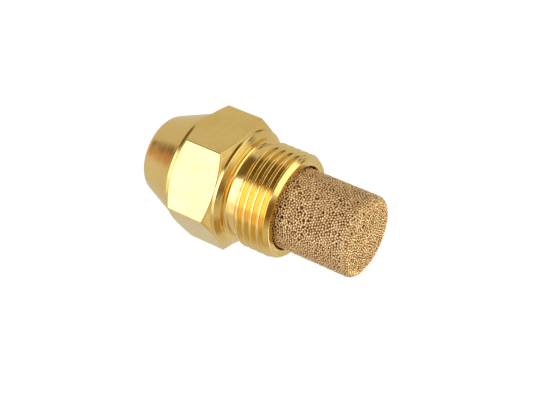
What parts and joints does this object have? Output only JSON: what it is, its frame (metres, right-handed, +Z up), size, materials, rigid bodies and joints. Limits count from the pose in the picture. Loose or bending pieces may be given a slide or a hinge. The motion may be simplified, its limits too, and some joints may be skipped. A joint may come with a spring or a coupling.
{
  "type": "oil burner nozzle",
  "caption": "Brass pressure-atomising oil burner nozzle with a spanner hexagon, conical nose, fixing thread and a sintered filter cup on its inlet.",
  "frame": {"origin": "centre of the lower spanner flat, the face the nozzle rests on; the nozzle axis is 8 mm above it and the rear sealing face 11.2 mm behind it", "axes": "+X along the nozzle axis in the spray direction, with the filter towards -X; +Z up, out of the upper spanner flat"},
  "size_m": [0.032, 0.0184, 0.016],
  "materials": {
    "brass_body": "turned and lightly polished, fine tool lines",
    "steel_disc": "fine turned stainless steel",
    "steel_distributor": "fine turned stainless steel",
    "brass_screw": "as turned",
    "sintered_bronze": "matt sintered bronze grains with dark pores",
    "brass_ferrule": "as turned"
  },
  "bodies": {
    "body": {"nozzle_body": "brass_body", "orifice_disc": "steel_disc"},
    "filter": {"filter_element": "sintered_bronze", "filter_ferrule": "brass_ferrule"},
    "insert": {"swirl_distributor": "steel_distributor"},
    "screw": {"lock_screw": "brass_screw"}
  },
  "joints": [
    {"name": "filter_pull", "type": "slide", "parent": "body", "child": "filter", "axis": [-1, 0, 0], "range_m": [0, 0.0072]},
    {"name": "insert_slide", "type": "slide", "parent": "body", "child": "insert", "axis": [-1, 0, 0], "range_m": [0, 0.00201]},
    {"name": "lock_screw_turn", "type": "hinge", "parent": "insert", "child": "screw", "pos_m": [0, 0, 0.008], "axis": [-1, 0, 0], "range_deg": [0, 720]}
  ],
  "couplings": [
    {"joint": "insert_slide", "follows": "lock_screw_turn", "m_per_rad": 0.00015915}
  ]
}
